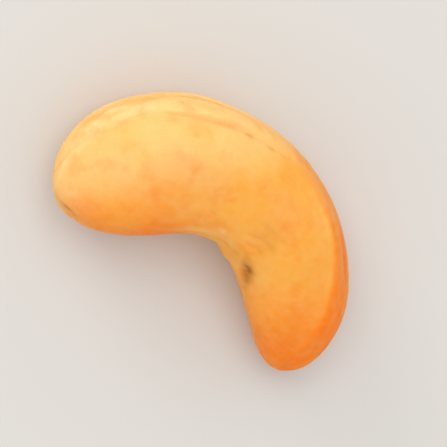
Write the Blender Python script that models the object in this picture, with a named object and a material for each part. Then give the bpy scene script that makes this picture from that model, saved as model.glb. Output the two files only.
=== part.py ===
"""A whole roasted cashew kernel, lying on its cheek.

The kernel is one solid seed. Its body is broad and round at the head, turns through about 110 degrees and
tapers to a blunt tail. Its two halves meet in a seam that runs all the way round: a low ribbed band along
the outer curve and a puckered groove along the inner one.

The shape is a section carried along a bent spine, then raised and sunk by relief formulas.
A point on it is named by its place (0 at the head's end, 1 at the tail's) and its girth angle
(0 on the outer seam, a quarter turn on the upper cheek, a half turn on the inner seam).

Metres, +Z up. The chord of the curve lies along X with the head at -X, and the outer curve is towards +Y.
The origin is under the middle of the kernel, on the surface that it rests on.
Run with: blender --background --python part.py
"""

import math
from collections import namedtuple

import bpy
import numpy as np
from mathutils import Matrix

NODE_NAME = "kernel"
MILLIMETRE = 0.001

# Body, in mm and degrees
SPINE_LENGTH = 31.6
HEAD_FULLNESS = 4.3
TAIL_FULLNESS = 3.3
CHEEK_SHOULDER = 0.065
BACK_WEIGHT = 0.08

# How it lies: the chord turned along X, then leaned until both lobes touch, and pressed flat where they do
CHORD_TURN = 47.0
REST_ROLL = 9.0
REST_PITCH = 4.5
REST_DEPTH = 0.10
UNDER_SPREAD = 48.0

# The spine's stations: heading turns towards the inner curve, and the rest are distances from the spine
Station = namedtuple("Station", "place heading back inner cheek")
STATIONS = (
    Station(0.00, 0.0, 6.2, 4.9, 5.35),
    Station(0.14, -2.0, 6.6, 4.75, 5.65),
    Station(0.28, -1.0, 6.35, 4.3, 5.85),
    Station(0.42, 18.0, 5.3, 4.45, 5.75),
    Station(0.56, 48.0, 4.5, 5.05, 5.45),
    Station(0.70, 75.0, 4.3, 4.95, 5.15),
    Station(0.84, 96.0, 4.35, 4.75, 4.9),
    Station(1.00, 118.0, 4.3, 4.5, 4.5),
)

# Outer seam: a raised band with a fine line along its middle and a shallow furrow on each side, which comes
# and goes a little and is lower along the tail
BAND_HALF_WIDTH = 1.75
BAND_HEIGHT = 0.17
SEAM_LINE_WIDTH = 0.32
SEAM_LINE_DEPTH = 0.10
FURROW_OFFSET = 2.5
FURROW_WIDTH = 0.50
FURROW_DEPTH = 0.13
SEAM_WANDER = 0.22
SEAM_WANDER_RATE = 9.0
SEAM_WANDER_START = 0.6
BAND_FADE = 0.25
BAND_FADE_RATE = 17.0
BAND_FADE_START = 1.1
BAND_SHARE_AT_TAIL = 0.5
BAND_TAPERS_FROM = 0.42
BAND_TAPERS_TO = 0.72

# Shoulders: rounded ridges that part the tail's back from its cheeks, of which the upper one climbs
SHOULDER_OFFSET = 2.2
SHOULDER_CLIMBS_FROM = 0.5
UPPER_SHOULDER_CLIMB = 9.8
UNDER_SHOULDER_CLIMB = 3.0
SHOULDER_WIDTH = 0.95
SHOULDER_HEIGHT = 0.22
SHOULDER_STARTS = 0.30
SHOULDER_IS_FULL = 0.60

# Inner seam: a groove between two rounded lips, deepest in the crook, with puckers across it
GROOVE_WIDTH = 0.75
GROOVE_DEPTH = 0.75
GROOVE_DEPTH_AT_ENDS = 0.12
LIP_OFFSET = 1.9
LIP_WIDTH = 0.85
LIP_HEIGHT = 0.14
LIP_SHARE_AT_ENDS = 0.4
CROOK_PLACE = 0.52
CROOK_REACH = 0.17
PUCKER_SPACING = 4.2
PUCKER_DEPTH = 0.08
PUCKER_REACH = 2.6
PUCKER_SLANT = 0.8
INNER_SEAM_ENDS = 6.0

# Slow swells of the cheeks
SWELL_SEED = 11
SWELL_WAVES = 9
SWELL_SHORTEST = 6.0
SWELL_LONGEST = 13.0
SWELL_HEIGHT = 0.16

# Spots: raised where height is positive and sunk where it is negative
Spot = namedtuple("Spot", "place girth radius height")
RADICLE_NUB = Spot(0.020, 172.0, 0.9, 0.05)
RADICLE_CREASE_RADIUS = 1.25
RADICLE_CREASE_WIDTH = 0.34
RADICLE_CREASE_DEPTH = 0.09
RADICLE_CREASE_STARTS = 0.008
RADICLE_CREASE_IS_FULL = 0.035
SPOTS = (
    RADICLE_NUB,
    Spot(0.560, 104.0, 1.8, -0.17),
    Spot(0.646, 142.0, 0.75, -0.20),
    Spot(0.985, 60.0, 0.9, -0.18),
)

# Mesh
RINGS = 74
COLUMNS = 60
SEAM_CROWDING = 0.2
SPINE_STEPS = 2000

# Finish
ROASTED_COLOUR = "F8B968"
ROASTED_ROUGHNESS = 0.48


def clear_scene():
    """Remove every object that the scene starts with."""
    for scene_object in list(bpy.data.objects):
        bpy.data.objects.remove(scene_object, do_unlink=True)


def linear_colour(hex_colour):
    """Turn an sRGB colour such as F8B968 into linear red, green, blue and alpha."""
    channels = [int(hex_colour[start:start + 2], 16) / 255 for start in (0, 2, 4)]
    linear = [c / 12.92 if c <= 0.04045 else ((c + 0.055) / 1.055) ** 2.4 for c in channels]
    return (*linear, 1.0)


def roasted_kernel_material():
    """The satin, golden surface of a roasted kernel."""
    material = bpy.data.materials.new("roasted_kernel")
    material.use_nodes = True
    shader = material.node_tree.nodes["Principled BSDF"]
    shader.inputs["Base Color"].default_value = linear_colour(ROASTED_COLOUR)
    shader.inputs["Roughness"].default_value = ROASTED_ROUGHNESS
    shader.inputs["Metallic"].default_value = 0.0
    return material


def smooth_through(values, place):
    """A smooth curve through the stations' values, read at each place."""
    stops = np.array([station.place for station in STATIONS])
    values = np.asarray(values)
    slopes = np.gradient(values, stops)
    left = np.clip(np.searchsorted(stops, place) - 1, 0, len(stops) - 2)
    span = stops[left + 1] - stops[left]
    x = (place - stops[left]) / span
    from_values = (1 + 2 * x) * (1 - x) ** 2 * values[left] + x * x * (3 - 2 * x) * values[left + 1]
    from_slopes = x * (1 - x) ** 2 * slopes[left] - x * x * (1 - x) * slopes[left + 1]
    return from_values + span * from_slopes


def bell(distance, width):
    """A smooth bump that is 1 at distance 0 and has all but gone at twice its width."""
    return np.exp(-((distance / width) ** 2))


def ease(value, low, high):
    """A soft step from 0 at low to 1 at high."""
    x = np.clip((value - low) / (high - low), 0, 1)
    return x * x * (3 - 2 * x)


def spine(place):
    """The spine's x, y and heading (radians) at each place, its start at the head."""
    fine = np.linspace(0, 1, SPINE_STEPS + 1)
    heading = -np.radians(smooth_through([station.heading for station in STATIONS], fine))
    step = SPINE_LENGTH / SPINE_STEPS
    route = []
    for along in (np.cos(heading) * step, np.sin(heading) * step):
        travelled = np.concatenate([[0], np.cumsum((along[1:] + along[:-1]) / 2)])
        route.append(np.interp(place, fine, travelled))
    return route[0], route[1], np.interp(place, fine, heading)


def body_points(place, girth):
    """The plain body: an egg-shaped section with soft shoulders, swept along the spine, closed at its ends.

    place and girth are arrays of one shape, and the result has x, y and z (mm) along its last axis.
    """
    x, y, heading = spine(place)
    back = smooth_through([station.back for station in STATIONS], place)
    inner = smooth_through([station.inner for station in STATIONS], place)
    cheek = smooth_through([station.cheek for station in STATIONS], place)
    along = 2 * place - 1
    fullness = np.where(along < 0, HEAD_FULLNESS, TAIL_FULLNESS)
    closing = np.sqrt(np.clip(1 - np.abs(along) ** fullness, 0, None))
    outwards = closing * ((back + inner) / 2 * np.cos(girth) + (back - inner) / 2)
    upwards = np.sin(girth) + CHEEK_SHOULDER * np.sin(3 * girth)
    upwards = closing * cheek * upwards * (1 + BACK_WEIGHT * np.cos(girth))
    return np.stack([x - np.sin(heading) * outwards, y + np.cos(heading) * outwards, upwards], axis=-1)


def outward_normals(points):
    """Unit normals of a grid of rings that closes round its second axis."""
    lengthwise = np.gradient(points, axis=0)
    crosswise = np.roll(points, -1, axis=1) - np.roll(points, 1, axis=1)
    normals = np.cross(crosswise, lengthwise)
    return normals / np.maximum(np.linalg.norm(normals, axis=-1, keepdims=True), 1e-9)


def outer_seam_relief(place, girth):
    """The ribbed band along the outer curve and the two shoulders, gone at both ends."""
    half_thickness = smooth_through([station.cheek for station in STATIONS], place)
    from_middle = np.arctan2(np.sin(girth), np.cos(girth)) * half_thickness
    distance = from_middle + SEAM_WANDER * np.sin(SEAM_WANDER_RATE * place + SEAM_WANDER_START)
    band = BAND_HEIGHT * np.exp(-((distance / BAND_HALF_WIDTH) ** 4))
    line = SEAM_LINE_DEPTH * bell(distance, SEAM_LINE_WIDTH)
    furrows = FURROW_DEPTH * bell(np.abs(distance) - FURROW_OFFSET, FURROW_WIDTH)
    strength = 1 - BAND_FADE * (1 - np.sin(BAND_FADE_RATE * place + BAND_FADE_START))
    strength *= 1 - (1 - BAND_SHARE_AT_TAIL) * ease(place, BAND_TAPERS_FROM, BAND_TAPERS_TO)
    climb = np.where(from_middle > 0, UPPER_SHOULDER_CLIMB, UNDER_SHOULDER_CLIMB)
    shoulder_offset = SHOULDER_OFFSET + climb * np.clip(place - SHOULDER_CLIMBS_FROM, 0, None)
    shoulders = SHOULDER_HEIGHT * bell(np.abs(from_middle) - shoulder_offset, SHOULDER_WIDTH)
    shoulders *= ease(place, SHOULDER_STARTS, SHOULDER_IS_FULL)
    ends = np.clip(4 * place * (1 - place), 0, 1) ** 0.5
    return ((band - line - furrows) * strength + shoulders) * ends


def inner_seam_relief(place, girth):
    """The groove, its lips and the puckers along the inner curve."""
    half_thickness = smooth_through([station.cheek for station in STATIONS], place)
    distance = np.arctan2(-np.sin(girth), -np.cos(girth)) * half_thickness
    crook = bell(place - CROOK_PLACE, CROOK_REACH)
    ends = np.clip(INNER_SEAM_ENDS * place * (1 - place), 0, 1)
    depth = GROOVE_DEPTH_AT_ENDS + (GROOVE_DEPTH - GROOVE_DEPTH_AT_ENDS) * crook
    groove = depth * bell(distance, GROOVE_WIDTH)
    lip_height = LIP_HEIGHT * (LIP_SHARE_AT_ENDS + (1 - LIP_SHARE_AT_ENDS) * crook)
    lips = lip_height * bell(np.abs(distance) - LIP_OFFSET, LIP_WIDTH)
    turns = 2 * np.pi * place * SPINE_LENGTH / PUCKER_SPACING
    puckers = PUCKER_DEPTH * crook * np.sin(turns + PUCKER_SLANT * distance) * bell(distance, PUCKER_REACH)
    return (lips + puckers - groove) * ends


def swell_relief(points):
    """Slow swells that keep the cheeks from being exactly round: a few long waves in seeded directions."""
    random = np.random.default_rng(SWELL_SEED)
    height = np.zeros(points.shape[:-1])
    for _ in range(SWELL_WAVES):
        direction = random.normal(size=3)
        direction /= np.linalg.norm(direction)
        wave_length = random.uniform(SWELL_SHORTEST, SWELL_LONGEST)
        phase = random.uniform(0, 2 * np.pi)
        height += np.sin(points @ direction * 2 * np.pi / wave_length + phase)
    return height * SWELL_HEIGHT / np.sqrt(SWELL_WAVES)


def distance_from(spot, points):
    """Straight distance (mm) of every point from a spot on the plain body."""
    centre = body_points(np.array([spot.place]), np.radians([spot.girth]))[0]
    return np.linalg.norm(points - centre, axis=-1)


def spot_relief(points, place):
    """The nub of the seed's root, the crease that curves round it, and the dents of the cheeks and tail."""
    height = sum(spot.height * bell(distance_from(spot, points), spot.radius) for spot in SPOTS)
    crease = bell(distance_from(RADICLE_NUB, points) - RADICLE_CREASE_RADIUS, RADICLE_CREASE_WIDTH)
    return height - RADICLE_CREASE_DEPTH * crease * ease(place, RADICLE_CREASE_STARTS, RADICLE_CREASE_IS_FULL)


def under_cheek(girth):
    """1 along the middle of the under cheek, fading to 0 at its sides."""
    from_below = np.arctan2(np.cos(girth), -np.sin(girth))
    return bell(from_below, np.radians(UNDER_SPREAD))


def settled(points):
    """Turn the chord along X, lean the kernel onto its two lobes, flatten what touches, and centre it."""
    turn = Matrix.Rotation(math.radians(CHORD_TURN), 3, "Z")
    roll = Matrix.Rotation(math.radians(REST_ROLL), 3, "X")
    pitch = Matrix.Rotation(math.radians(REST_PITCH), 3, "Y")
    lying = points @ np.array(pitch @ roll @ turn).T
    x, y, z = np.moveaxis(lying, -1, 0)
    height = np.maximum(z - z.min() - REST_DEPTH, 0)
    return np.stack([x - (x.min() + x.max()) / 2, y - (y.min() + y.max()) / 2, height], axis=-1)


def kernel_points():
    """The kernel's surface as a grid: one row for each ring, the first and last rings closed to a point."""
    place = (1 - np.cos(np.linspace(0, np.pi, RINGS))) / 2
    even = np.linspace(0, 2 * np.pi, COLUMNS, endpoint=False)
    girth = even - SEAM_CROWDING * np.sin(2 * even)
    place, girth = np.meshgrid(place, girth, indexing="ij")
    points = body_points(place, girth)
    height = (swell_relief(points) + spot_relief(points, place)) * (1 - under_cheek(girth))
    height += outer_seam_relief(place, girth) + inner_seam_relief(place, girth)
    normals = outward_normals(points)
    for pole, inside in ((0, 1), (-1, -2)):
        normals[pole] = normals[inside].mean(axis=0)
        normals[pole] /= np.linalg.norm(normals[pole], axis=-1, keepdims=True)
        height[pole] = height[inside].mean()
    return settled(points + height[..., None] * normals)


def closed_mesh(name, grid):
    """One closed mesh from a grid of rings whose first and last rings are single points."""
    rings, columns = grid.shape[:2]
    inner_rings = grid[1:-1].reshape(-1, 3)
    vertices = np.vstack([inner_rings, grid[0, 0], grid[-1, 0]])
    head, tail = len(vertices) - 2, len(vertices) - 1
    faces = []
    for column in range(columns):
        beside = (column + 1) % columns
        last = (rings - 3) * columns
        faces.append((head, beside, column))
        faces.append((tail, last + column, last + beside))
        for ring in range(rings - 3):
            near, far = ring * columns, (ring + 1) * columns
            faces.append((near + column, near + beside, far + beside, far + column))
    mesh = bpy.data.meshes.new(name)
    mesh.from_pydata(vertices.tolist(), [], faces)
    mesh.validate()
    mesh.update()
    return mesh


def build_kernel():
    """The kernel as one named object with its material."""
    mesh = closed_mesh(NODE_NAME, kernel_points() * MILLIMETRE)
    mesh.polygons.foreach_set("use_smooth", [True] * len(mesh.polygons))
    mesh.materials.append(roasted_kernel_material())
    kernel = bpy.data.objects.new(NODE_NAME, mesh)
    bpy.context.scene.collection.objects.link(kernel)
    return kernel


def main():
    clear_scene()
    build_kernel()


main()
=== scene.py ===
"""Looks of a whole roasted cashew kernel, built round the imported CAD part.

The kernel grew as one piece, so the scene makes one finely shaped skin that stands for the plain CAD solid,
dresses it, and lays it on a pale table in soft light, with a camera that looks down on its upper cheek.

A point of the skin is named by its place, 0 at the head's end and 1 at the tail's, and by its girth angle,
0 on the outer seam, a quarter turn on the upper cheek and a half turn on the inner seam. Lengths are in mm
until a mesh is made.
"""

import logging
import math
from dataclasses import dataclass, field
from enum import Enum

import bpy
import numpy as np
from mathutils import Matrix, Vector


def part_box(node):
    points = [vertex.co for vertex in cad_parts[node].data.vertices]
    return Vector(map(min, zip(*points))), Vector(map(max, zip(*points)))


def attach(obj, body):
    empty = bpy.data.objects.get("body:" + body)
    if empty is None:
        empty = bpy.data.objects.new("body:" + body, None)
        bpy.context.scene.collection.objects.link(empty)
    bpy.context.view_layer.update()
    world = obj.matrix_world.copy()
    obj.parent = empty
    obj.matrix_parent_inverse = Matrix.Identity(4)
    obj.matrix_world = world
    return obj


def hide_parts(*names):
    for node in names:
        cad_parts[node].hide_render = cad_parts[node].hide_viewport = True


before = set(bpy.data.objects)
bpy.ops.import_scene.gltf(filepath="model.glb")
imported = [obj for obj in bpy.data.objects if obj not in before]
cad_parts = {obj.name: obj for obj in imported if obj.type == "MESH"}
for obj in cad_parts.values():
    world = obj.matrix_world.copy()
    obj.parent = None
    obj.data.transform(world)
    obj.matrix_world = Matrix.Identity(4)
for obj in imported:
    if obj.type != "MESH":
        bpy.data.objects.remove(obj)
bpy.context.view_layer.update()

CAD_NODE = "kernel"
BODY = "root"
MILLIMETRE = 0.001
TURN = 2 * math.pi

# Where a soft step is 0 and where it is 1
Step = tuple[float, float]

# The ring at each end of the skin, which is a single point, and the ring beside it
POLES = ((0, 1), (-1, -2))

log = logging.getLogger("kernel_scene")


class Side(Enum):
    """The named girth angles of the kernel, in degrees."""

    OUTER_SEAM = 0.0
    INNER_SEAM = 180.0
    UNDER_CHEEK = 270.0


def bell(distance: np.ndarray, width: float) -> np.ndarray:
    """A smooth bump: e to the minus square of distance over width.

    Args:
        distance: how far each point is from the middle of the bump.
        width: the distance at which the bump has fallen to about a third.

    Returns:
        1 at distance 0, falling to almost 0 at twice the width.
    """
    return np.exp(-((distance / width) ** 2))


def ease(value: np.ndarray, none: float, full: float) -> np.ndarray:
    """A soft step: 3x squared minus 2x cubed, where x runs from 0 to 1 between two values.

    Args:
        value: where the step is read.
        none: the value at which it is 0, on either side of full.
        full: the value at which it is 1.

    Returns:
        Numbers from 0 to 1.
    """
    x = np.clip((value - none) / (full - none), 0, 1)
    return x * x * (3 - 2 * x)


def around(girth: np.ndarray, middle: float) -> np.ndarray:
    """The angle from a line along the kernel to each girth angle, the short way round.

    Args:
        girth: girth angles in radians.
        middle: the line's own girth angle, in degrees.

    Returns:
        Angles in radians between minus and plus a half turn.
    """
    turned = girth - math.radians(middle)
    return np.arctan2(np.sin(turned), np.cos(turned))


@dataclass(frozen=True)
class Waves:
    """The waves of one noise: their shortest and longest lengths, how many there are, and the draw's seed."""

    shortest: float
    longest: float
    count: int
    seed: int


def wave_noise(points: np.ndarray, waves: Waves) -> np.ndarray:
    """Smooth random relief: a sum of sine waves in seeded directions, each with its own length and phase.

    Args:
        points: positions, x, y and z along the last axis, in the unit of the waves' lengths.
        waves: the waves to sum.

    Returns:
        Values round 0, mostly between -1.5 and 1.5.
    """
    random = np.random.default_rng(waves.seed)
    directions = random.normal(size=(waves.count, 3))
    directions /= np.linalg.norm(directions, axis=1, keepdims=True)
    lengths = random.uniform(waves.shortest, waves.longest, size=waves.count)
    phases = random.uniform(0, TURN, size=waves.count)
    total = np.zeros(points.shape[:-1])
    for direction, length, phase in zip(directions, lengths, phases):
        total += np.sin(points @ direction * TURN / length + phase)
    return total / math.sqrt(waves.count / 2)


@dataclass(frozen=True)
class Station:
    """One cross-section: its place, the spine's heading in degrees, and how far off each side is."""

    place: float
    heading: float
    back: float
    inner: float
    cheek: float


@dataclass(frozen=True)
class Spot:
    """A round bump (height above 0) or dent (below 0) on the skin, with its girth in degrees."""

    place: float
    girth: float
    radius: float
    height: float


@dataclass(frozen=True)
class Mark:
    """A soft-edged mark of colour, such as a pale fleck, a brown mark, a burnt mark, painted shade in a dent
    and a painted glint: where it is, its half length and width, and its strength.

    Its girth, and its lean from the spine, are in degrees.
    """

    place: float
    girth: float
    half_length: float
    half_width: float
    lean: float
    strength: float


@dataclass(frozen=True)
class KernelBody:
    """The plain body: an egg-shaped section with soft shoulders, carried along a bent spine."""

    spine_length: float = 31.6
    head_fullness: float = 4.3
    tail_fullness: float = 3.3
    cheek_shoulder: float = 0.065
    back_weight: float = 0.08
    spine_steps: int = 2000
    stations: tuple[Station, ...] = (
        Station(0.00, 0.0, 6.2, 4.9, 5.35),
        Station(0.14, -2.0, 6.6, 4.75, 5.65),
        Station(0.28, -1.0, 6.35, 4.3, 5.85),
        Station(0.42, 18.0, 5.3, 4.45, 5.75),
        Station(0.56, 48.0, 4.5, 5.05, 5.45),
        Station(0.70, 75.0, 4.3, 4.95, 5.15),
        Station(0.84, 96.0, 4.35, 4.75, 4.9),
        Station(1.00, 118.0, 4.3, 4.5, 4.5),
    )

    def between(self, side: str, place: np.ndarray) -> np.ndarray:
        """Read one of the stations' values at any place, on a smooth curve through them.

        The curve between two stations is the cubic with their values and with slopes taken from their
        neighbours.

        Args:
            side: the station's field.
            place: where to read it.

        Returns:
            The values, in the shape of place.
        """
        stops = np.array([station.place for station in self.stations])
        values = np.array([getattr(station, side) for station in self.stations])
        slopes = np.gradient(values, stops)
        left = np.clip(np.searchsorted(stops, place) - 1, 0, len(stops) - 2)
        span = stops[left + 1] - stops[left]
        x = (place - stops[left]) / span
        from_values = (1 + 2 * x) * (1 - x) ** 2 * values[left] + x * x * (3 - 2 * x) * values[left + 1]
        from_slopes = x * (1 - x) ** 2 * slopes[left] - x * x * (1 - x) * slopes[left + 1]
        return from_values + span * from_slopes

    def spine(self, place: np.ndarray) -> tuple[np.ndarray, np.ndarray, np.ndarray]:
        """The spine: the running sum of small steps, each along the heading there.

        Args:
            place: where to read it.

        Returns:
            x, y and the heading in radians.
        """
        fine = np.linspace(0, 1, self.spine_steps + 1)
        heading = -np.radians(self.between("heading", fine))
        step = self.spine_length / self.spine_steps
        route = []
        for along in (np.cos(heading) * step, np.sin(heading) * step):
            travelled = np.concatenate([[0], np.cumsum((along[1:] + along[:-1]) / 2)])
            route.append(np.interp(place, fine, travelled))
        return route[0], route[1], np.interp(place, fine, heading)

    def closing(self, place: np.ndarray) -> np.ndarray:
        """How wide the kernel is against its full width there: 1 along most of it and 0 at both ends.

        It is the root of one minus a power of the distance from the middle, which makes the ends blunt.

        Args:
            place: where to read it.

        Returns:
            Numbers from 0 to 1, in the shape of place.
        """
        along = 2 * place - 1
        fullness = np.where(along < 0, self.head_fullness, self.tail_fullness)
        return np.sqrt(np.clip(1 - np.abs(along) ** fullness, 0, None))

    def points(self, place: np.ndarray, girth: np.ndarray) -> np.ndarray:
        """Positions on the plain body.

        A section is an ellipse, wider towards the back and squared a little at the cheeks by a third
        harmonic.

        Args:
            place: places along the spine.
            girth: girth angles in radians, in the same shape.

        Returns:
            x, y and z along the last axis, with the seam's plane at z 0.
        """
        x, y, heading = self.spine(place)
        back, inner, cheek = (self.between(side, place) for side in ("back", "inner", "cheek"))
        closing = self.closing(place)
        outwards = closing * ((back + inner) / 2 * np.cos(girth) + (back - inner) / 2)
        upwards = np.sin(girth) + self.cheek_shoulder * np.sin(3 * girth)
        upwards = closing * cheek * upwards * (1 + self.back_weight * np.cos(girth))
        return np.stack([x - np.sin(heading) * outwards, y + np.cos(heading) * outwards, upwards], axis=-1)

    def across(self, place: np.ndarray, girth: np.ndarray, side: Side) -> np.ndarray:
        """Distance round the section from one side, near enough for marks close to it."""
        return around(girth, side.value) * self.between("cheek", place)

    def unrolled(self, place: np.ndarray, girth: np.ndarray, stretch: float) -> np.ndarray:
        """Positions on the kernel as if it were straight, with its length divided by stretch.

        Noise read there has marks that run along the kernel, as many times longer than wide as stretch.

        Args:
            place: places along the spine.
            girth: girth angles in radians.
            stretch: how many times longer than wide a mark is to be.

        Returns:
            x, y and z along the last axis.
        """
        radius = self.between("cheek", place) * self.closing(place)
        return np.stack(
            [place * self.spine_length / stretch, radius * np.cos(girth), radius * np.sin(girth)], axis=-1
        )


@dataclass(frozen=True)
class OuterSeam:
    """The ribbed band along the outer curve, where the two halves of the seed meet."""

    half_width: float = 1.75
    height: float = 0.17
    line_width: float = 0.24
    line_depth: float = 0.14
    furrow_offset: float = 2.5
    furrow_width: float = 0.50
    furrow_depth: float = 0.13
    wander: float = 0.22
    wander_rate: float = 9.0
    wander_start: float = 0.6
    fade: float = 0.25
    fade_rate: float = 17.0
    fade_start: float = 1.1
    share_at_tail: float = 0.5
    tapers: Step = (0.42, 0.72)
    shoulder_offset: float = 2.2
    upper_climb: float = 9.8
    under_climb: float = 3.0
    shoulder_width: float = 0.95
    shoulder_height: float = 0.22
    shoulder_step: Step = (0.30, 0.60)
    shoulder_climbs_from: float = 0.5

    def distance(self, body: KernelBody, place: np.ndarray, girth: np.ndarray) -> np.ndarray:
        """Distance from the middle of the band, which wanders a little from side to side."""
        wander = self.wander * np.sin(self.wander_rate * place + self.wander_start)
        return body.across(place, girth, Side.OUTER_SEAM) + wander

    def strength(self, place: np.ndarray) -> np.ndarray:
        """How clearly the band shows: it comes and goes along the curve, and is gone at both ends."""
        return (1 - self.fade * (1 - np.sin(self.fade_rate * place + self.fade_start))) * self.ends(place)

    def ends(self, place: np.ndarray) -> np.ndarray:
        """1 along the middle of the kernel and 0 at both ends: the root of a parabola."""
        return np.clip(4 * place * (1 - place), 0, 1) ** 0.5

    def relief(self, body: KernelBody, place: np.ndarray, girth: np.ndarray) -> np.ndarray:
        """A flat-topped band with a fine line sunk along its middle and a shallow furrow on each side.

        The band is e to the minus fourth power of distance over half its width. It is lower along the tail,
        where a rounded shoulder further out on each side parts the back from the cheek.

        Args:
            body: the plain body.
            place: places along the spine.
            girth: girth angles in radians.

        Returns:
            Heights in mm.
        """
        distance = self.distance(body, place, girth)
        band = self.height * np.exp(-((distance / self.half_width) ** 4))
        line = self.line_depth * bell(distance, self.line_width)
        furrows = self.furrow_depth * bell(np.abs(distance) - self.furrow_offset, self.furrow_width)
        from_shoulder = self.from_shoulder(body, place, girth)
        shoulders = self.shoulder_height * bell(from_shoulder, self.shoulder_width)
        shoulders *= ease(place, *self.shoulder_step) * self.ends(place)
        taper = 1 - (1 - self.share_at_tail) * ease(place, *self.tapers)
        return (band - line - furrows) * self.strength(place) * taper + shoulders

    def from_shoulder(self, body: KernelBody, place: np.ndarray, girth: np.ndarray) -> np.ndarray:
        """Distance from the nearer shoulder, below 0 on the back.

        The shoulders part towards the tail, where the upper one climbs onto the cheek.

        Args:
            body: the plain body.
            place: places along the spine.
            girth: girth angles in radians.

        Returns:
            Distances in mm.
        """
        across = body.across(place, girth, Side.OUTER_SEAM)
        climb = np.where(across > 0, self.upper_climb, self.under_climb)
        climbed = climb * np.clip(place - self.shoulder_climbs_from, 0, None)
        return np.abs(across) - self.shoulder_offset - climbed


@dataclass(frozen=True)
class InnerSeam:
    """The groove along the inner curve, deepest in the crook, with lips beside it and puckers across it."""

    groove_width: float = 0.75
    groove_depth: float = 0.75
    depth_at_ends: float = 0.12
    lip_offset: float = 1.9
    lip_width: float = 0.85
    lip_height: float = 0.14
    lip_share_at_ends: float = 0.4
    ends_rise: float = 6.0
    crook_place: float = 0.52
    crook_reach: float = 0.17
    pucker_spacing: float = 4.2
    pucker_depth: float = 0.08
    pucker_reach: float = 2.6
    pucker_lean: float = 0.8

    def crook(self, place: np.ndarray) -> np.ndarray:
        """1 in the middle of the bend, falling to 0 along both lobes."""
        return bell(place - self.crook_place, self.crook_reach)

    def relief(self, body: KernelBody, place: np.ndarray, girth: np.ndarray) -> np.ndarray:
        """A bell-shaped groove, a rounded lip on each side, and a slow sine along the spine for the puckers.

        Args:
            body: the plain body.
            place: places along the spine.
            girth: girth angles in radians.

        Returns:
            Heights in mm.
        """
        distance = -body.across(place, girth, Side.INNER_SEAM)
        crook = self.crook(place)
        ends = np.clip(self.ends_rise * place * (1 - place), 0, 1)
        depth = self.depth_at_ends + (self.groove_depth - self.depth_at_ends) * crook
        groove = depth * bell(distance, self.groove_width)
        lip_share = self.lip_share_at_ends + (1 - self.lip_share_at_ends) * crook
        lips = self.lip_height * lip_share * bell(np.abs(distance) - self.lip_offset, self.lip_width)
        turns = TURN * place * body.spine_length / self.pucker_spacing
        puckers = self.pucker_depth * crook * np.sin(turns + self.pucker_lean * distance)
        puckers *= bell(distance, self.pucker_reach)
        return (lips + puckers - groove) * ends


@dataclass(frozen=True)
class SlowForms:
    """What keeps the cheeks from being exactly round: long swells, the root's nub, and a few dents."""

    swell_waves: Waves = Waves(6.0, 13.0, 9, 11)
    swell_height: float = 0.16
    under_spread: float = 48.0
    nub: Spot = Spot(0.020, 172.0, 0.9, 0.05)
    crease_radius: float = 1.25
    crease_width: float = 0.34
    crease_depth: float = 0.09
    crease_starts: float = 0.008
    crease_is_full: float = 0.035
    dents: tuple[Spot, ...] = (
        Spot(0.560, 104.0, 1.8, -0.17),
        Spot(0.646, 142.0, 0.75, -0.20),
        Spot(0.985, 60.0, 0.9, -0.18),
    )

    def distance_from(self, spot: Spot, body: KernelBody, points: np.ndarray) -> np.ndarray:
        """Straight distance of every point from a spot on the plain body."""
        centre = body.points(np.array([spot.place]), np.radians([spot.girth]))[0]
        return np.linalg.norm(points - centre, axis=-1)

    def crease(self, body: KernelBody, points: np.ndarray, place: np.ndarray) -> np.ndarray:
        """1 along the crease round the nub, 0 beside it and where it runs out at the head's end."""
        ring = bell(self.distance_from(self.nub, body, points) - self.crease_radius, self.crease_width)
        return ring * ease(place, self.crease_starts, self.crease_is_full)

    def swells(self, points: np.ndarray) -> np.ndarray:
        """The same few long sine waves as the CAD solid has, drawn in the same order from the same seed.

        Args:
            points: positions on the plain body.

        Returns:
            Heights in mm.
        """
        waves = self.swell_waves
        random = np.random.default_rng(waves.seed)
        height = np.zeros(points.shape[:-1])
        for _ in range(waves.count):
            direction = random.normal(size=3)
            direction /= np.linalg.norm(direction)
            wave_length = random.uniform(waves.shortest, waves.longest)
            phase = random.uniform(0, TURN)
            height += np.sin(points @ direction * TURN / wave_length + phase)
        return height * self.swell_height / math.sqrt(waves.count)

    def relief(
        self, body: KernelBody, points: np.ndarray, place: np.ndarray, girth: np.ndarray
    ) -> np.ndarray:
        """The sum of the swells, the nub with its crease, and the dents, gone where the kernel rests.

        Args:
            body: the plain body.
            points: positions on it.
            place: places along the spine.
            girth: girth angles in radians.

        Returns:
            Heights in mm.
        """
        height = self.swells(points) - self.crease_depth * self.crease(body, points, place)
        for spot in (self.nub, *self.dents):
            height += spot.height * bell(self.distance_from(spot, body, points), spot.radius)
        return height * (1 - bell(around(girth, Side.UNDER_CHEEK.value), math.radians(self.under_spread)))


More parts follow.
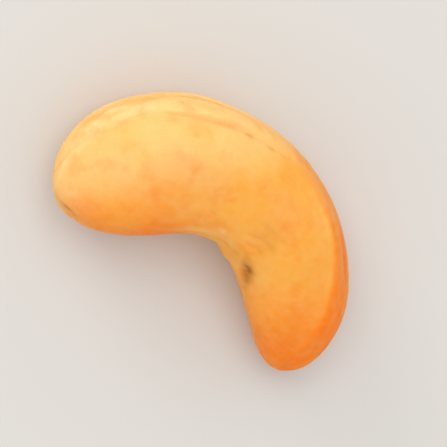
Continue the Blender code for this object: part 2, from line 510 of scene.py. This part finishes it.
@dataclass(frozen=True)
class FineWrinkles:
    """Relief too fine for the CAD solid: creases that run along the kernel, skin grain and shallow pocks."""

    crease_depth: float = 0.045
    crease_stretch: float = 6.0
    crease_waves: Waves = Waves(1.3, 2.6, 26, 5)
    crease_sharpness: int = 4
    crease_fade: Step = (0.60, 0.90)
    crease_patch_waves: Waves = Waves(5.0, 9.0, 8, 6)
    crease_patch_step: Step = (-0.5, 1.0)
    flank_offset: float = 2.8
    flank_width: float = 1.9
    share_on_flank: float = 0.8
    share_elsewhere: float = 0.22
    grain_height: float = 0.006
    grain_waves: Waves = Waves(0.55, 1.2, 36, 8)
    pock_seed: int = 7
    pock_count: int = 70
    pock_places: tuple[float, float] = (0.05, 0.95)
    pock_radii: tuple[float, float] = (0.14, 0.42)
    pock_depths: tuple[float, float] = (0.012, 0.05)
    crook_depth: float = 0.030
    crook_spacing: float = 1.15
    crook_push: float = 0.30
    crook_push_waves: Waves = Waves(2.0, 4.5, 14, 9)
    crook_place: float = 0.555
    crook_reach: float = 0.055
    crook_offset: float = 6.6
    crook_spread: float = 2.2
    tip_folds: int = 5
    tip_fold_depth: float = 0.035
    tip_fold_twist: float = 9.0
    tip_fold_place: float = 0.965
    tip_fold_reach: float = 0.03
    head_fade: Step = (0.0, 0.02)
    tail_fade: Step = (0.0, 0.03)

    def creases(self, body: KernelBody, place: np.ndarray, girth: np.ndarray) -> np.ndarray:
        """Thin creases where long-stretched noise crosses zero: one minus its size, to a high power.

        Args:
            body: the plain body.
            place: places along the spine.
            girth: girth angles in radians.

        Returns:
            1 along a crease and 0 away from it, strongest beside the outer seam and gone at both ends.
        """
        unrolled = body.unrolled(place, girth, self.crease_stretch)
        noise = wave_noise(unrolled, self.crease_waves)
        thin = np.clip(1 - np.abs(noise), 0, 1) ** self.crease_sharpness
        thin *= ease(body.closing(place), *self.crease_fade)
        from_seam = np.abs(body.across(place, girth, Side.OUTER_SEAM))
        flank = bell(from_seam - self.flank_offset, self.flank_width)
        patches = ease(wave_noise(unrolled, self.crease_patch_waves), *self.crease_patch_step)
        return thin * patches * np.clip(self.share_elsewhere + self.share_on_flank * flank, 0, 1)

    def pocks(self, body: KernelBody, points: np.ndarray) -> np.ndarray:
        """Shallow round pocks at seeded places.

        Args:
            body: the plain body.
            points: positions on it.

        Returns:
            Depths in mm.
        """
        random = np.random.default_rng(self.pock_seed)
        places = random.uniform(*self.pock_places, self.pock_count)
        girths = random.uniform(0, TURN, self.pock_count)
        radii = random.uniform(*self.pock_radii, self.pock_count)
        depths = random.uniform(*self.pock_depths, self.pock_count)
        depth = np.zeros(points.shape[:-1])
        for centre, radius, deep in zip(body.points(places, girths), radii, depths):
            depth += deep * bell(np.linalg.norm(points - centre, axis=-1), radius)
        return depth

    def relief(
        self, body: KernelBody, points: np.ndarray, place: np.ndarray, girth: np.ndarray
    ) -> np.ndarray:
        """Grain, less the creases, the crook's wrinkles and the pocks, with the folds that gather at the tip.

        The folds are a cosine round the tip that turns a little along it.

        Args:
            body: the plain body.
            points: positions on it.
            place: places along the spine.
            girth: girth angles in radians.

        Returns:
            Heights in mm.
        """
        grain = wave_noise(points, self.grain_waves)
        folds = self.tip_fold_depth * np.cos(self.tip_folds * girth + self.tip_fold_twist * place)
        folds *= bell(place - self.tip_fold_place, self.tip_fold_reach)
        fade = ease(place, *self.head_fade) * ease(1 - place, *self.tail_fade)
        height = self.grain_height * grain - self.crease_depth * self.creases(body, place, girth)
        height -= self.crook_depth * self.crook_wrinkles(body, points, place, girth)
        return (height - self.pocks(body, points) + folds) * fade

    def crook_wrinkles(
        self, body: KernelBody, points: np.ndarray, place: np.ndarray, girth: np.ndarray
    ) -> np.ndarray:
        """The soft wrinkles that the bend pinches into both cheeks, curved round the crook.

        A cosine of the distance from the inner seam, pushed about by noise, that fades away from the crook.

        Args:
            body: the plain body.
            points: positions on it.
            place: places along the spine.
            girth: girth angles in radians.

        Returns:
            Heights from -1 to 1.
        """
        from_groove = np.abs(body.across(place, girth, Side.INNER_SEAM))
        pushed = from_groove + self.crook_push * wave_noise(points, self.crook_push_waves)
        wrinkles = np.cos(pushed * TURN / self.crook_spacing)
        wrinkles *= bell(place - self.crook_place, self.crook_reach)
        return wrinkles * bell(from_groove - self.crook_offset, self.crook_spread)


def linear(hex_colour: str) -> tuple[float, float, float, float]:
    """Turn an sRGB colour into the linear values that a shader takes.

    Args:
        hex_colour: six hex digits, such as F8B968.

    Returns:
        Red, green, blue and alpha.
    """
    channels = [int(hex_colour[start:start + 2], 16) / 255 for start in (0, 2, 4)]
    red, green, blue = (c / 12.92 if c <= 0.04045 else ((c + 0.055) / 1.055) ** 2.4 for c in channels)
    return red, green, blue, 1.0


def add_node(tree: bpy.types.NodeTree, kind: str, settings: dict, inputs: dict) -> bpy.types.Node:
    """Add a node with its settings and links.

    Args:
        tree: the material's or the world's node tree.
        kind: Blender's name for the node.
        settings: the node's own properties, by name.
        inputs: for each socket, by name or number, a value or the output socket that feeds it.

    Returns:
        The new node.
    """
    node = tree.nodes.new(kind)
    for name, value in settings.items():
        setattr(node, name, value)
    for socket, value in inputs.items():
        if isinstance(value, bpy.types.NodeSocket):
            tree.links.new(value, node.inputs[socket])
        else:
            node.inputs[socket].default_value = value
    return node


class Pattern(Enum):
    """What can drive a coat of colour: a tone of the skin's mesh, noise of some size, or scattered specks."""

    PALE_AND_PAINTED_LIGHT = "pale"
    ROAST_AND_SHADE = "roast_and_shade"
    SCORCH_AND_SHADE = "scorch_and_shade"
    MOTTLE = "mottle"
    BLOTCH = "blotch"
    FLECK = "fleck"
    GRAIN = "grain"
    SPECK = "speck"


@dataclass(frozen=True)
class Coat:
    """A colour laid over those below it by a pattern: none of it at low, its full cover at high."""

    pattern: Pattern
    low: float
    high: float
    cover: float
    colour: str


@dataclass(frozen=True)
class RoastedKernelFinish:
    """Roasted seed flesh: satin, a little oily, golden where it is full and deeper where it is sunk, where
    the shade is painted into its colour.

    Light goes a little way into it and comes out redder, which gives the eye its warm, almost glowing
    shadows. Roasting leaves it mottled, with a few scorched specks; its cream head and darker tail are partly
    from roasting and partly painted light and shade. The grain of its cells, a few hundredths of a
    millimetre, is too fine to show, so it is drawn several times coarser.
    Sizes are in mm.
    """

    golden: str = "F7AA44"
    # Cream clouds, cream parts with painted light and highlights, amber parts with painted shade, amber
    # blotches, small pale flecks, brown specks, and burnt marks with painted shade
    coats: tuple[Coat, ...] = (
        Coat(Pattern.MOTTLE, 0.45, 0.70, 0.25, "F5CE88"),
        Coat(Pattern.PALE_AND_PAINTED_LIGHT, 0.0, 1.0, 1.0, "F5CE88"),
        Coat(Pattern.ROAST_AND_SHADE, 0.0, 1.0, 1.0, "F97904"),
        Coat(Pattern.BLOTCH, 0.50, 0.74, 0.30, "F17606"),
        Coat(Pattern.FLECK, 0.34, 0.76, 0.13, "FBD38C"),
        Coat(Pattern.SPECK, 0.88, 0.94, 0.40, "C47A22"),
        Coat(Pattern.SCORCH_AND_SHADE, 0.0, 1.0, 1.0, "A4540A"),
    )
    mottle_size: float = 6.0
    blotch_size: float = 1.6
    fleck_size: float = 0.75
    grain_size: float = 0.22
    grain_height: float = 0.028
    grain_strength: float = 0.5
    noise_detail: float = 3.0
    noise_roughness: float = 0.5
    speck_spacing: float = 1.9
    speck_sharpness: float = 0.8
    roughness: tuple[float, float] = (0.48, 0.62)
    roughness_step: Step = (0.35, 0.70)
    index_of_refraction: float = 1.42
    gloss: float = 0.15
    glow_weight: float = 0.25
    glow_radii: tuple[float, float, float] = (1.0, 0.42, 0.16)
    glow_depth: float = 1.3

    def patterns(self, tree: bpy.types.NodeTree) -> dict[Pattern, bpy.types.NodeSocket]:
        """Add every pattern that the finish reads.

        A speck lies at the middle of some cells of a scattered pattern: it is the cell's own random number
        less the distance from its middle, so that only high draws give a speck, and the highest the largest.

        Args:
            tree: the material's node tree.

        Returns:
            The output socket of each pattern.
        """
        where = add_node(tree, "ShaderNodeTexCoord", {}, {}).outputs["Object"]
        found = {}
        for tone in (Pattern.PALE_AND_PAINTED_LIGHT, Pattern.ROAST_AND_SHADE, Pattern.SCORCH_AND_SHADE):
            carried = add_node(tree, "ShaderNodeAttribute", {"attribute_name": tone.value}, {})
            found[tone] = carried.outputs["Fac"]
        sizes = {
            Pattern.MOTTLE: self.mottle_size,
            Pattern.BLOTCH: self.blotch_size,
            Pattern.FLECK: self.fleck_size,
            Pattern.GRAIN: self.grain_size,
        }
        for noise, size in sizes.items():
            inputs = {"Vector": where, "Scale": 1 / (size * MILLIMETRE), "Detail": self.noise_detail,
                      "Roughness": self.noise_roughness}
            found[noise] = add_node(tree, "ShaderNodeTexNoise", {}, inputs).outputs[0]
        spacing = {"Vector": where, "Scale": 1 / (self.speck_spacing * MILLIMETRE)}
        cells = add_node(tree, "ShaderNodeTexVoronoi", {}, spacing).outputs
        draw = add_node(tree, "ShaderNodeSeparateColor", {}, {"Color": cells["Color"]}).outputs["Red"]
        speck = {0: cells["Distance"], 1: -self.speck_sharpness, 2: draw}
        less = add_node(tree, "ShaderNodeMath", {"operation": "MULTIPLY_ADD"}, speck)
        found[Pattern.SPECK] = less.outputs[0]
        return found

    def make(self) -> bpy.types.Material:
        """Build the material: the coats of colour from the lowest up, then gloss, grain and glow.

        Returns:
            The finished material.
        """
        material = bpy.data.materials.new("roasted_kernel_skin")
        material.use_nodes = True
        tree = material.node_tree
        patterns = self.patterns(tree)
        # The mix node's sockets go by number, because its sockets for other kinds of value share their names
        mix_share, mix_under, mix_over, mix_result = 0, 6, 7, 2
        colour = linear(self.golden)
        for coat in self.coats:
            ranges = {"Value": patterns[coat.pattern], "From Min": coat.low, "From Max": coat.high,
                      "To Max": coat.cover}
            share = add_node(tree, "ShaderNodeMapRange", {"clamp": True}, ranges).outputs["Result"]
            layers = {mix_share: share, mix_under: colour, mix_over: linear(coat.colour)}
            colour = add_node(tree, "ShaderNodeMix", {"data_type": "RGBA"}, layers).outputs[mix_result]

        shader = tree.nodes["Principled BSDF"]
        tree.links.new(colour, shader.inputs["Base Color"])
        (low, high), (smooth, coarse) = self.roughness_step, self.roughness
        ranges = {"Value": patterns[Pattern.BLOTCH], "From Min": low, "From Max": high,
                  "To Min": smooth, "To Max": coarse}
        rough = add_node(tree, "ShaderNodeMapRange", {"clamp": True}, ranges).outputs["Result"]
        tree.links.new(rough, shader.inputs["Roughness"])
        relief = {"Height": patterns[Pattern.GRAIN], "Distance": self.grain_height * MILLIMETRE,
                  "Strength": self.grain_strength}
        bump = add_node(tree, "ShaderNodeBump", {}, relief)
        tree.links.new(bump.outputs["Normal"], shader.inputs["Normal"])
        shader.inputs["IOR"].default_value = self.index_of_refraction
        shader.inputs["Specular IOR Level"].default_value = self.gloss
        shader.inputs["Subsurface Weight"].default_value = self.glow_weight
        shader.inputs["Subsurface Radius"].default_value = self.glow_radii
        shader.inputs["Subsurface Scale"].default_value = self.glow_depth * MILLIMETRE
        return material


@dataclass(frozen=True)
class RoastAndLightTones:
    """Where the kernel is pale, browned or scorched, and where light and shade are painted on it.

    Its head is cream and its tail darker, partly from roasting and partly painted light and shade along one
    direction, and one flank is darker by painted shade, by the way the skin faces. Creases, grooves and the
    inner side carry painted shade, and the seam's rim and the groove's lips painted highlights. Each step is
    a pair: where the tone is none and where it is full, in mm, or as a place along the spine.
    """

    # Which side gets painted shade by the way the skin faces, which side gets painted light, and the noises
    # that break the tones up
    painted_shade_side: tuple[float, float, float] = (0.93, -0.16, 0.32)
    painted_light_side: tuple[float, float, float] = (-0.83, 0.52, -0.21)
    ends: Step = (0.25, 0.75)
    streak_stretch: float = 7.0
    streak_waves: Waves = Waves(0.7, 1.6, 24, 41)
    drift: float = 0.06
    drift_waves: Waves = Waves(3.0, 8.0, 12, 21)

    # What is cream: painted light on the head's back, painted highlights on the seam's rim with its palest
    # stripe and on the lips of the groove
    head_painted_light: float = 0.56
    head_step: Step = (2.0, 7.0)
    rim_painted_highlight: float = 0.15
    rim_highlight_streaks: float = 0.16
    rim_edge: Step = (2.3, 1.8)
    rim_highlight_stripe: float = 0.30
    rim_stripe_offset: float = 1.65
    rim_stripe_width: float = 0.55
    rim_along: Step = (0.48, 0.30)
    beyond_rim: float = 0.45
    beyond_rim_starts: Step = (-1.0, -2.0)
    beyond_rim_ends: Step = (-9.0, -5.0)
    lip_painted_highlight: float = 0.40
    lip_offset: float = 4.0
    lip_width: float = 0.60
    lip_starts: Step = (0.15, 0.35)
    lip_ends: Step = (0.56, 0.46)

    # What is amber: the tail and the tail's back, partly from roasting and partly painted shade; painted
    # shade on a flank, on the inner side and in what is sunk; and two brown patches
    tail_roast_and_shade: float = 0.85
    tail_step: Step = (-4.5, -11.5)
    flank_painted_shade: float = 0.50
    flank_step: Step = (0.50, 0.95)
    back_roast_and_shade: float = 0.64
    back_streaks: float = 0.12
    back_edge: Step = (-0.9, -0.2)
    back_middle: Step = (5.0, 2.0)
    back_along: Step = (0.44, 0.66)
    inner_painted_shade: float = 0.40
    inner_painted_shade_at_tail: float = 0.14
    inner_step: Step = (9.4, 5.6)
    inner_along: Step = (0.42, 0.20)
    inner_along_tail: Step = (0.66, 0.76)
    groove_width: float = 1.5
    groove_painted_shade: float = 0.10
    groove_painted_shade_in_crook: float = 0.30
    lip_clearing: float = 0.25
    line_painted_shade: float = 0.42
    line_width: float = 0.22
    furrow_painted_shade: float = 0.20
    furrow_width: float = 0.35
    furrow_streaks: Step = (-0.8, 0.6)
    crease_painted_shade: float = 0.25
    nub_crease_painted_shade: float = 0.15
    brown_patches: tuple[Mark, ...] = (
        Mark(0.265, 100.0, 3.4, 2.2, 0.0, 0.20),
        Mark(0.060, 114.0, 2.0, 2.6, 0.0, 0.17),
    )

    # What is darkest: painted shade in a dent, in the crook's wrinkles and in the upper furrow, and single
    # burnt marks
    wrinkle_painted_shade: float = 0.12
    upper_furrow_painted_shade: float = 0.13
    upper_furrow_shade_width: float = 0.45
    upper_furrow_shade_streaks: Step = (-0.6, 0.8)
    upper_furrow_shade_along: Step = (0.60, 0.40)
    scorch_breakup: float = 0.14
    scorch_breakup_waves: Waves = Waves(0.5, 1.1, 10, 31)
    scorch_breakup_limit: float = 1.2
    marks: tuple[Mark, ...] = (
        Mark(0.650, 144.0, 2.10, 0.66, 20.0, 0.84),
        Mark(0.030, 132.0, 0.60, 0.28, 50.0, 0.70),
        Mark(0.026, 136.0, 0.90, 0.80, 30.0, 0.22),
        Mark(0.414, 28.0, 0.28, 0.28, 0.0, 0.30),
        Mark(0.455, 32.0, 0.22, 0.22, 0.0, 0.30),
        # Painted shade in the shallow dent at the bend
        Mark(0.560, 104.0, 1.50, 1.20, 0.0, 0.15),
        Mark(0.555, 142.0, 2.60, 1.10, 0.0, 0.13),
        Mark(0.030, 57.0, 0.35, 1.10, 0.0, 0.14),
    )
    # Small cream marks
    flecks: tuple[Mark, ...] = (
        # A painted glint beside the crook
        Mark(0.425, 131.0, 0.55, 0.35, 20.0, 0.55),
        Mark(0.030, 100.0, 0.45, 0.90, 0.0, 0.35),
    )

    def mark(self, mark: Mark, body: KernelBody, place: np.ndarray, girth: np.ndarray) -> np.ndarray:
        """A bell over an ellipse on the unrolled skin, turned by the mark's lean.

        Args:
            mark: the mark to draw.
            body: the plain body.
            place: places along the spine.
            girth: girth angles in radians.

        Returns:
            The mark's strength in its middle, falling to 0 round it.
        """
        along = (place - mark.place) * body.spine_length
        across = around(girth, mark.girth) * body.between("cheek", place)
        lean = math.radians(mark.lean)
        lengthwise = (along * math.cos(lean) + across * math.sin(lean)) / mark.half_length
        crosswise = (across * math.cos(lean) - along * math.sin(lean)) / mark.half_width
        return mark.strength * bell(np.hypot(lengthwise, crosswise), 1.0)

    def work_out(
        self, skin: "KernelSkin", place: np.ndarray, girth: np.ndarray, plain: np.ndarray, smooth: np.ndarray
    ) -> dict[str, np.ndarray]:
        """How pale, how roasted and how scorched each point is, with the painted light and shade that these
        tones carry.

        Args:
            skin: the skin that the tones are for.
            place: places along the spine.
            girth: girth angles in radians.
            plain: positions on the plain body, in mm.
            smooth: positions on the settled skin without its fine wrinkles, in metres.

        Returns:
            Arrays from 0 to 1 by name.
        """
        body, outer, inner = skin.body, skin.outer_seam, skin.inner_seam
        # How the skin faces one side, for painted shade on a flank, and how far it lies towards the other
        # side, for painted light on the head and painted shade on the tail
        shade_facing = skin.normals(smooth) @ np.array(self.painted_shade_side)
        lightward = smooth @ np.array(self.painted_light_side) / MILLIMETRE
        lightward -= (lightward.min() + lightward.max()) / 2
        streaks = wave_noise(body.unrolled(place, girth, self.streak_stretch), self.streak_waves)
        drift = self.drift * wave_noise(plain, self.drift_waves)
        seam = outer.distance(body, place, girth)
        from_groove = np.abs(body.across(place, girth, Side.INNER_SEAM))
        inwards = -outer.from_shoulder(body, place, girth)
        away_from_ends = ease(body.closing(place), *self.ends)
        lips = bell(from_groove - self.lip_offset, self.lip_width)
        lips *= ease(place, *self.lip_starts) * ease(place, *self.lip_ends)
        from_seam = seam * body.closing(place)
        along_rim = ease(place, *self.rim_along)
        rim = ease(from_seam, *self.rim_edge) * along_rim * away_from_ends
        stripe = bell(from_seam - self.rim_stripe_offset, self.rim_stripe_width) * along_rim
        beyond_rim = ease(seam, *self.beyond_rim_starts) * ease(seam, *self.beyond_rim_ends)

        # Painted light on the head's back, painted highlights along the rim and on the lips, and pale drift
        # and flecks
        pale = self.head_painted_light * ease(lightward, *self.head_step) + self.lip_painted_highlight * lips + drift
        pale += rim * (self.rim_painted_highlight + self.rim_highlight_streaks * streaks - self.beyond_rim * beyond_rim)
        pale += self.rim_highlight_stripe * stripe
        pale += sum(self.mark(fleck, body, place, girth) for fleck in self.flecks)

        # A darker tail and tail's back, partly from roasting and partly painted shade, and painted shade on
        # the flank that faces away
        tailward = self.tail_roast_and_shade * ease(lightward, *self.tail_step)
        turned = self.flank_painted_shade * ease(shade_facing, *self.flank_step)
        back = (self.back_roast_and_shade + self.back_streaks * streaks) * ease(place, *self.back_along)
        back *= ease(inwards, *self.back_edge) * ease(inwards, *self.back_middle)
        roast_and_shade = 1 - (1 - tailward) * (1 - turned) * (1 - back) + drift
        # Painted shade on the inner side, in the groove, in the seam's sunk line and furrows, in the creases
        # and round the nub
        sides = self.inner_painted_shade * ease(place, *self.inner_along)
        sides += self.inner_painted_shade_at_tail * ease(place, *self.inner_along_tail)
        sides *= ease(from_groove, *self.inner_step)
        groove = self.groove_painted_shade + self.groove_painted_shade_in_crook * inner.crook(place)
        sides += groove * bell(from_groove, self.groove_width)
        furrows = bell(np.abs(seam) - outer.furrow_offset, self.furrow_width)
        furrows *= ease(streaks, *self.furrow_streaks)
        lines = self.line_painted_shade * bell(seam, self.line_width) + self.furrow_painted_shade * furrows
        roast_and_shade += (sides + lines * outer.strength(place)) * away_from_ends - self.lip_clearing * lips
        roast_and_shade += self.crease_painted_shade * skin.wrinkles.creases(body, place, girth)
        roast_and_shade += self.nub_crease_painted_shade * skin.slow_forms.crease(body, plain, place)
        roast_and_shade += sum(self.mark(patch, body, place, girth) for patch in self.brown_patches)

        # Burnt marks and painted shade in a dent, then painted shade in the crook's wrinkles and the upper
        # furrow
        scorch_and_shade = np.max([self.mark(mark, body, place, girth) for mark in self.marks], axis=0)
        breakup = self.scorch_breakup * wave_noise(plain, self.scorch_breakup_waves)
        scorch_and_shade *= np.clip(1 + breakup, 0, self.scorch_breakup_limit)
        scorch_and_shade += self.wrinkle_painted_shade * np.clip(skin.wrinkles.crook_wrinkles(body, plain, place, girth), 0, 1)
        furrow = bell(seam - outer.furrow_offset, self.upper_furrow_shade_width)
        furrow *= ease(place, *self.upper_furrow_shade_along)
        scorch_and_shade += self.upper_furrow_painted_shade * furrow * ease(streaks, *self.upper_furrow_shade_streaks)
        tones = {Pattern.PALE_AND_PAINTED_LIGHT: pale, Pattern.ROAST_AND_SHADE: roast_and_shade, Pattern.SCORCH_AND_SHADE: scorch_and_shade}
        return {pattern.value: np.clip(values, 0, 1) for pattern, values in tones.items()}


@dataclass
class KernelSkin:
    """The kernel's visible skin: a fine grid of rings round the spine, closed to a point at each end."""

    rings: int = 350
    columns: int = 264
    seam_crowding: float = 0.2
    chord_turn: float = 47.0
    rest_roll: float = 9.0
    rest_pitch: float = 4.5
    rest_depth: float = 0.10
    body: KernelBody = field(default_factory=KernelBody)
    outer_seam: OuterSeam = field(default_factory=OuterSeam)
    inner_seam: InnerSeam = field(default_factory=InnerSeam)
    slow_forms: SlowForms = field(default_factory=SlowForms)
    wrinkles: FineWrinkles = field(default_factory=FineWrinkles)
    tones: RoastAndLightTones = field(default_factory=RoastAndLightTones)
    finish: RoastedKernelFinish = field(default_factory=RoastedKernelFinish)

    def grid(self) -> tuple[np.ndarray, np.ndarray]:
        """The place and the girth angle of every grid point, crowded at both ends and along both seams.

        Returns:
            Two arrays, a row for each ring.
        """
        place = (1 - np.cos(np.linspace(0, math.pi, self.rings))) / 2
        even = np.linspace(0, TURN, self.columns, endpoint=False)
        girth = even - self.seam_crowding * np.sin(2 * even)
        return np.meshgrid(place, girth, indexing="ij")

    def normals(self, points: np.ndarray) -> np.ndarray:
        """Unit normals of the grid: the cross product of its two directions, the mean of a ring at a pole.

        Args:
            points: a position for each place and girth angle.

        Returns:
            Outward directions of length 1, in the shape of points.
        """
        lengthwise = np.gradient(points, axis=0)
        crosswise = np.roll(points, -1, axis=1) - np.roll(points, 1, axis=1)
        normals = np.cross(crosswise, lengthwise)
        for pole, inside in POLES:
            normals[pole] = normals[inside].mean(axis=0)
        return normals / np.linalg.norm(normals, axis=-1, keepdims=True)

    def settled(self, points: np.ndarray) -> np.ndarray:
        """Lay the kernel down: turn its chord along X, lean it onto its two lobes and flatten what touches.

        Then fit it to the CAD node's box, so that it is the same size in the same place.

        Args:
            points: positions in mm with the seam's plane at z 0.

        Returns:
            Positions in metres in the frame of the CAD part.
        """
        lean = (
            Matrix.Rotation(math.radians(self.rest_pitch), 3, "Y")
            @ Matrix.Rotation(math.radians(self.rest_roll), 3, "X")
            @ Matrix.Rotation(math.radians(self.chord_turn), 3, "Z")
        )
        lying = points @ np.array(lean).T
        floor = lying[..., 2].min() + self.rest_depth
        lying[..., 2] = np.maximum(lying[..., 2], floor)
        own_low, own_high = lying.min(axis=(0, 1)), lying.max(axis=(0, 1))
        low, high = (np.array(corner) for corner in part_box(CAD_NODE))
        return low + (lying - own_low) * (high - low) / (own_high - own_low)

    def shape(self) -> tuple[np.ndarray, dict[str, np.ndarray]]:
        """Work out the skin and what its finish needs to know of each point.

        Returns:
            The grid of positions in metres, and arrays from 0 to 1: pale, roast and scorch.
        """
        place, girth = self.grid()
        plain = self.body.points(place, girth)
        outwards = self.normals(plain)
        height = self.slow_forms.relief(self.body, plain, place, girth)
        height += self.outer_seam.relief(self.body, place, girth)
        height += self.inner_seam.relief(self.body, place, girth)
        smooth = self.settled(plain + height[..., None] * outwards)
        height += self.wrinkles.relief(self.body, plain, place, girth)
        for pole, inside in POLES:
            height[pole] = height[inside].mean()
        points = self.settled(plain + height[..., None] * outwards)
        return points, self.tones.work_out(self, place, girth, plain, smooth)

    def mesh(self, grid: np.ndarray, tones: dict[str, np.ndarray]) -> bpy.types.Mesh:
        """One closed mesh from the grid: four-sided faces between rings, and a fan at each end.

        Args:
            grid: positions whose first and last rings are single points.
            tones: the number that each point carries, by name.

        Returns:
            The mesh, smooth-shaded, with its attributes.
        """
        rings, columns = self.rings - 2, self.columns
        head, tail = rings * columns, rings * columns + 1
        column = np.arange(columns)
        beside = (column + 1) % columns
        ring = np.arange(rings - 1)[:, None] * columns
        quads = np.stack(
            [ring + column, ring + beside, ring + columns + beside, ring + columns + column], axis=-1
        )
        last = (rings - 1) * columns
        fans = np.concatenate([
            np.stack([np.full(columns, head), beside, column], axis=-1),
            np.stack([np.full(columns, tail), last + column, last + beside], axis=-1),
        ])
        vertices = np.vstack([grid[1:-1].reshape(-1, 3), grid[0, 0], grid[-1, 0]])
        mesh = bpy.data.meshes.new("kernel_skin")
        mesh.from_pydata(vertices, [], quads.reshape(-1, 4).tolist() + fans.tolist())
        mesh.polygons.foreach_set("use_smooth", np.ones(len(mesh.polygons), bool))
        for name, values in tones.items():
            attribute = mesh.attributes.new(name, "FLOAT", "POINT")
            flat = np.concatenate([values[1:-1].ravel(), values[0, :1], values[-1, :1]])
            attribute.data.foreach_set("value", flat.astype(np.float32))
        mesh.update()
        return mesh

    def build(self) -> bpy.types.Object:
        """Make the skin, dress it and let it stand for the CAD node.

        Returns:
            The skin's object.
        """
        points, tones = self.shape()
        mesh = self.mesh(points, tones)
        mesh.materials.append(self.finish.make())
        skin = bpy.data.objects.new("kernel_skin", mesh)
        bpy.context.scene.collection.objects.link(skin)
        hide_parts(CAD_NODE)
        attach(skin, BODY)
        return skin


@dataclass(frozen=True)
class TableFinish:
    """Matt painted board, pale grey-white: it shows the kernel's soft shadow and hardly shines."""

    colour: str = "D7D4CF"
    roughness: float = 0.9
    gloss: float = 0.1

    def make(self) -> bpy.types.Material:
        """Build the material.

        Returns:
            The finished material.
        """
        material = bpy.data.materials.new("matt_painted_board")
        material.use_nodes = True
        shader = material.node_tree.nodes["Principled BSDF"]
        shader.inputs["Base Color"].default_value = linear(self.colour)
        shader.inputs["Roughness"].default_value = self.roughness
        shader.inputs["Specular IOR Level"].default_value = self.gloss
        return material


@dataclass(frozen=True)
class SoftLight:
    """A square lamp, placed by its shares of the picture's right, its top and the way to the camera.

    Its distance and size are in metres, and its strength is in watts.
    """

    name: str
    right: float
    up: float
    near: float
    distance: float
    size: float
    strength: float
    colour: str = "FFFFFF"


@dataclass
class Studio:
    """The table, the lamps and the camera.

    Angles are in degrees, the lens, its sensor and the frame's width in mm, and the rest in metres.
    """

    camera_azimuth: float = 194.9
    camera_elevation: float = 72.9
    camera_turn: float = 120.5
    lens: float = 500.0
    sensor: float = 36.0
    frame_width: float = 34.5
    nearest_seen: float = 0.01
    table_width: float = 1.6
    daylight: float = 0.82
    daylight_colour: str = "FFFFFF"
    lights: tuple[SoftLight, ...] = (
        SoftLight("key_light", -0.45, 0.85, 0.62, 0.45, 0.20, 0.50),
        SoftLight("top_light", 0.10, 0.25, 1.00, 0.60, 0.40, 1.1),
    )

    def axes(self) -> tuple[Vector, Vector, Vector]:
        """The picture's own directions, from the camera's angles.

        Returns:
            Right, up, and towards the camera, each of length 1.
        """
        azimuth, elevation, turn = (
            math.radians(angle) for angle in (self.camera_azimuth, self.camera_elevation, self.camera_turn)
        )
        flat = math.cos(elevation)
        near = Vector((flat * math.cos(azimuth), flat * math.sin(azimuth), math.sin(elevation)))
        level = Vector((-math.sin(azimuth), math.cos(azimuth), 0.0))
        upright = near.cross(level)
        right = level * math.cos(turn) + upright * math.sin(turn)
        return right, near.cross(right), near

    def middle(self) -> Vector:
        """The middle of the object, from the frame."""
        low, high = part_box(CAD_NODE)
        return (low + high) / 2

    def build_camera(self) -> bpy.types.Object:
        """A long lens at the photograph's viewing angle, with the whole kernel in the frame.

        Returns:
            The camera.
        """
        right, up, near = self.axes()
        data = bpy.data.cameras.new("camera")
        data.lens = self.lens
        data.sensor_width = self.sensor
        data.clip_start = self.nearest_seen
        distance = self.frame_width * MILLIMETRE * self.lens / self.sensor
        camera = bpy.data.objects.new("camera", data)
        turn = Matrix((right, up, near)).transposed().to_4x4()
        camera.matrix_world = Matrix.Translation(self.middle() + near * distance) @ turn
        bpy.context.scene.collection.objects.link(camera)
        bpy.context.scene.camera = camera
        return camera

    def build_table(self) -> bpy.types.Object:
        """A wide flat top at the height that the kernel rests on.

        Returns:
            The table top.
        """
        half = self.table_width / 2
        corners = [(-half, -half, 0.0), (half, -half, 0.0), (half, half, 0.0), (-half, half, 0.0)]
        mesh = bpy.data.meshes.new("table_top")
        mesh.from_pydata(corners, [], [(0, 1, 2, 3)])
        mesh.materials.append(TableFinish().make())
        table = bpy.data.objects.new("table_top", mesh)
        bpy.context.scene.collection.objects.link(table)
        return table

    def build_light(self, light: SoftLight) -> bpy.types.Object:
        """One square lamp that faces the kernel.

        Args:
            light: where it is, how large and how strong.

        Returns:
            The lamp.
        """
        right, up, near = self.axes()
        direction = (right * light.right + up * light.up + near * light.near).normalized()
        data = bpy.data.lights.new(light.name, "AREA")
        data.size = light.size
        data.energy = light.strength
        data.color = linear(light.colour)[:3]
        lamp = bpy.data.objects.new(light.name, data)
        turn = direction.to_track_quat("Z", "Y").to_matrix().to_4x4()
        lamp.matrix_world = Matrix.Translation(self.middle() + direction * light.distance) @ turn
        bpy.context.scene.collection.objects.link(lamp)
        return lamp

    def build_daylight(self) -> None:
        """Even white light from all round, and colours shown as they are."""
        world = bpy.data.worlds.new("daylight")
        world.use_nodes = True
        background = world.node_tree.nodes["Background"]
        background.inputs["Color"].default_value = linear(self.daylight_colour)
        background.inputs["Strength"].default_value = self.daylight
        bpy.context.scene.world = world
        bpy.context.scene.view_settings.view_transform = "Standard"

    def build(self) -> None:
        """Set up everything round the object."""
        self.build_camera()
        self.build_table()
        for light in self.lights:
            self.build_light(light)
        self.build_daylight()


def report_piece(piece: bpy.types.Object) -> None:
    """Log a finished piece's name and how many faces it has.

    Args:
        piece: the piece to report.
    """
    log.info("%s: %d faces", piece.name, len(piece.data.polygons))


def main() -> None:
    """Build the kernel and the studio round it."""
    logging.basicConfig(level=logging.INFO, format="%(message)s")
    report_piece(KernelSkin().build())
    Studio().build()


if __name__ == "__main__":
    main()
